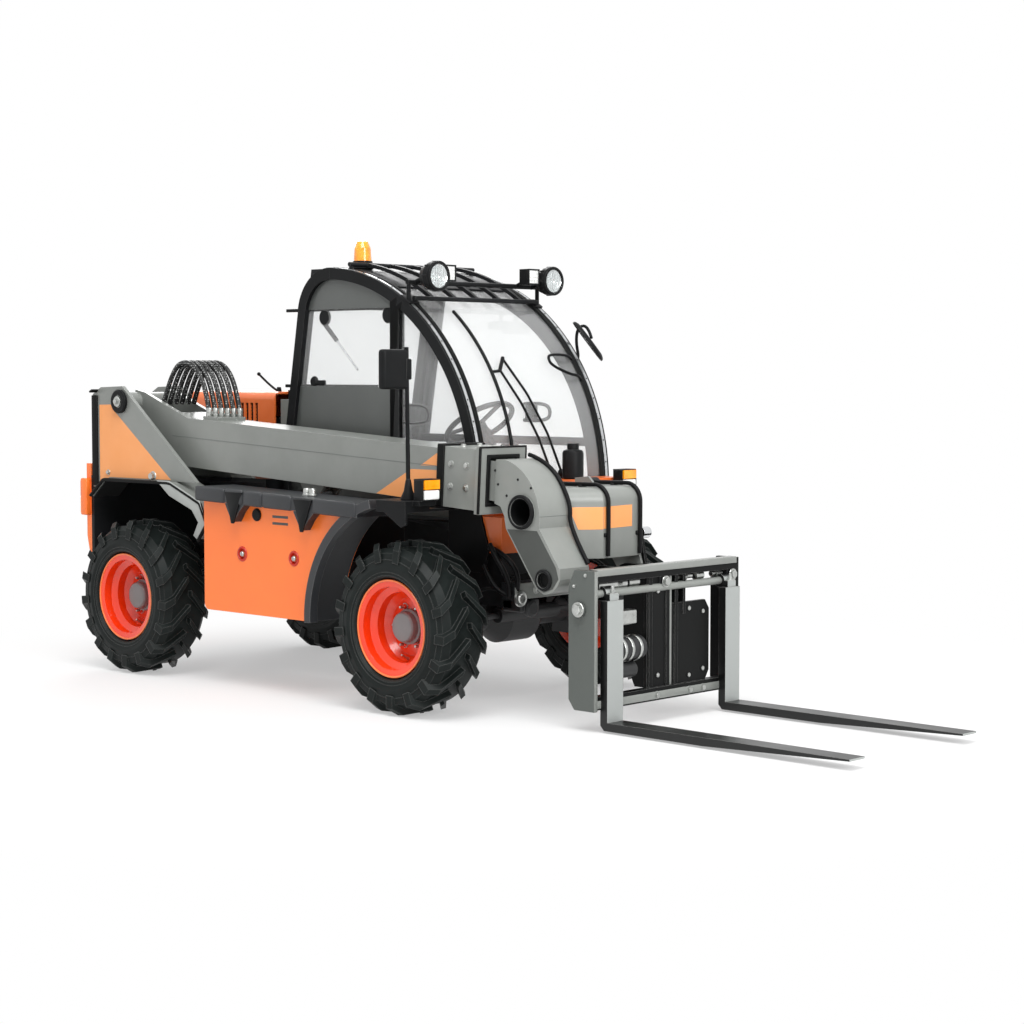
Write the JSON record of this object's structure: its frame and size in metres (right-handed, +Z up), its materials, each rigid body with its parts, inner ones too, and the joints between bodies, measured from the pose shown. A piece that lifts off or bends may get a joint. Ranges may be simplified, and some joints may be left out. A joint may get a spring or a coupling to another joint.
{
  "type": "telehandler",
  "caption": "Compact telehandler with a side cab, a two-stage boom beside it, a fork carriage, lugged tyres, front steering, and hinged door and engine hood.",
  "frame": {"origin": "middle of the bounding box's bottom, on the ground plane", "axes": "+X forward to the fork tips, +Y to the machine's left (cab side), +Z up"},
  "size_m": [4.66, 1.6, 2.129],
  "materials": {
    "tyre": "satin",
    "wheel_paint": "gloss",
    "grey_paint": "satin",
    "dark_paint": "satin",
    "orange_panel": "gloss",
    "grey_plastic": "matte",
    "black_plastic": "matte",
    "hose_rubber": "satin",
    "engine": "rough",
    "axle_iron": "rough",
    "glass": "polished",
    "amber": "polished",
    "seat_cover": "satin",
    "chrome_rod": "polished",
    "fork_steel": "satin"
  },
  "bodies": {
    "chassis": {"chassis_frame": "dark_paint", "boom_tower": "grey_paint", "counterweight": "orange_panel", "rear_mudguards": "black_plastic", "side_box": "orange_panel", "side_trim": "grey_plastic", "step_box": "grey_plastic", "front_mudguards": "grey_plastic", "front_cowl": "orange_panel", "engine_block": "engine", "air_box": "black_plastic", "front_axle": "axle_iron", "rear_axle": "axle_iron", "cab_frame": "black_plastic", "cab_panels": "grey_plastic", "windscreen": "glass", "cab_glass": "glass", "roof_guard": "dark_paint", "seat_frame": "black_plastic", "seat_cushions": "seat_cover", "steering_column": "black_plastic", "lamp_housings": "black_plastic", "amber_lenses": "amber", "mirrors": "black_plastic", "wipers": "black_plastic"},
    "hood": {"engine_hood": "orange_panel"},
    "door": {"door_frame": "dark_paint", "door_glass": "glass"},
    "steer_left": {"knuckle_left": "axle_iron"},
    "steer_right": {"knuckle_right": "axle_iron"},
    "wheel_front_left": {"tyre_front_left": "tyre", "rim_front_left": "wheel_paint"},
    "wheel_front_right": {"tyre_front_right": "tyre", "rim_front_right": "wheel_paint"},
    "wheel_rear_left": {"tyre_rear_left": "tyre", "rim_rear_left": "wheel_paint"},
    "wheel_rear_right": {"tyre_rear_right": "tyre", "rim_rear_right": "wheel_paint"},
    "boom": {"boom_outer": "grey_paint", "boom_hoses": "hose_rubber"},
    "inner_boom": {"boom_inner": "grey_paint", "boom_head": "grey_paint", "head_hoses": "hose_rubber"},
    "lift_cylinder": {"lift_barrel": "dark_paint"},
    "lift_piston": {"lift_rod": "chrome_rod"},
    "tilt_cylinder": {"tilt_barrel": "dark_paint"},
    "tilt_piston": {"tilt_rod": "chrome_rod"},
    "fork_carriage": {"carriage": "dark_paint", "forks": "fork_steel"}
  },
  "joints": [
    {"name": "wheel_front_left_spin", "type": "hinge", "parent": "steer_left", "child": "wheel_front_left", "pos_m": [0.15, 0.628, 0.38], "axis": [0, 1, 0], "continuous": true},
    {"name": "wheel_front_right_spin", "type": "hinge", "parent": "steer_right", "child": "wheel_front_right", "pos_m": [0.15, -0.628, 0.38], "axis": [0, 1, 0], "continuous": true},
    {"name": "wheel_rear_left_spin", "type": "hinge", "parent": "chassis", "child": "wheel_rear_left", "pos_m": [-1.77, 0.628, 0.38], "axis": [0, 1, 0], "continuous": true},
    {"name": "wheel_rear_right_spin", "type": "hinge", "parent": "chassis", "child": "wheel_rear_right", "pos_m": [-1.77, -0.628, 0.38], "axis": [0, 1, 0], "continuous": true},
    {"name": "steer_left_turn", "type": "hinge", "parent": "chassis", "child": "steer_left", "pos_m": [0.15, 0.44, 0.38], "axis": [0, 0, 1], "range_deg": [-30, 30]},
    {"name": "steer_right_turn", "type": "hinge", "parent": "chassis", "child": "steer_right", "pos_m": [0.15, -0.44, 0.38], "axis": [0, 0, 1], "range_deg": [-30, 30]},
    {"name": "boom_lift", "type": "hinge", "parent": "chassis", "child": "boom", "pos_m": [-1.99, -0.39, 1.34], "axis": [0, -1, 0], "range_deg": [0, 55]},
    {"name": "boom_extend", "type": "slide", "parent": "boom", "child": "inner_boom", "axis": [0.9983, 0, -0.0576], "range_m": [0, 0.9]},
    {"name": "carriage_tilt", "type": "hinge", "parent": "inner_boom", "child": "fork_carriage", "pos_m": [0.8, 0, 0.615], "axis": [0, 1, 0], "range_deg": [-15, 75]},
    {"name": "lift_cylinder_swing", "type": "hinge", "parent": "chassis", "child": "lift_cylinder", "pos_m": [-1.6, -0.39, 0.6], "axis": [0, -1, 0], "range_deg": [0, 46.5]},
    {"name": "lift_piston_slide", "type": "slide", "parent": "lift_cylinder", "child": "lift_piston", "axis": [0.9422, 0, 0.3351], "range_m": [0, 0.749]},
    {"name": "tilt_cylinder_swing", "type": "hinge", "parent": "inner_boom", "child": "tilt_cylinder", "pos_m": [0.51, 0.158, 0.985], "axis": [0, 1, 0], "range_deg": [-0.8, 3.7]},
    {"name": "tilt_piston_slide", "type": "slide", "parent": "tilt_cylinder", "child": "tilt_piston", "axis": [0.8365, 0, -0.5479], "range_m": [-0.042, 0.206]},
    {"name": "door_hinge", "type": "hinge", "parent": "chassis", "child": "door", "pos_m": [-1.1328, 0.74, 1.4], "axis": [0.165, 0, 0.9863], "range_deg": [0, 90]},
    {"name": "hood_hinge", "type": "hinge", "parent": "chassis", "child": "hood", "pos_m": [-1.498, 0.31, 1.388], "axis": [0, 1, 0], "range_deg": [0, 50]}
  ],
  "couplings": [
    {"joint": "steer_right_turn", "follows": "steer_left_turn", "ratio": 1},
    {"joint": "lift_cylinder_swing", "follows": "boom_lift", "ratio": 0.8434},
    {"joint": "lift_piston_slide", "follows": "boom_lift", "m_per_rad": 0.7796},
    {"joint": "tilt_cylinder_swing", "follows": "carriage_tilt", "ratio": 0.0476},
    {"joint": "tilt_piston_slide", "follows": "carriage_tilt", "m_per_rad": 0.1566}
  ]
}
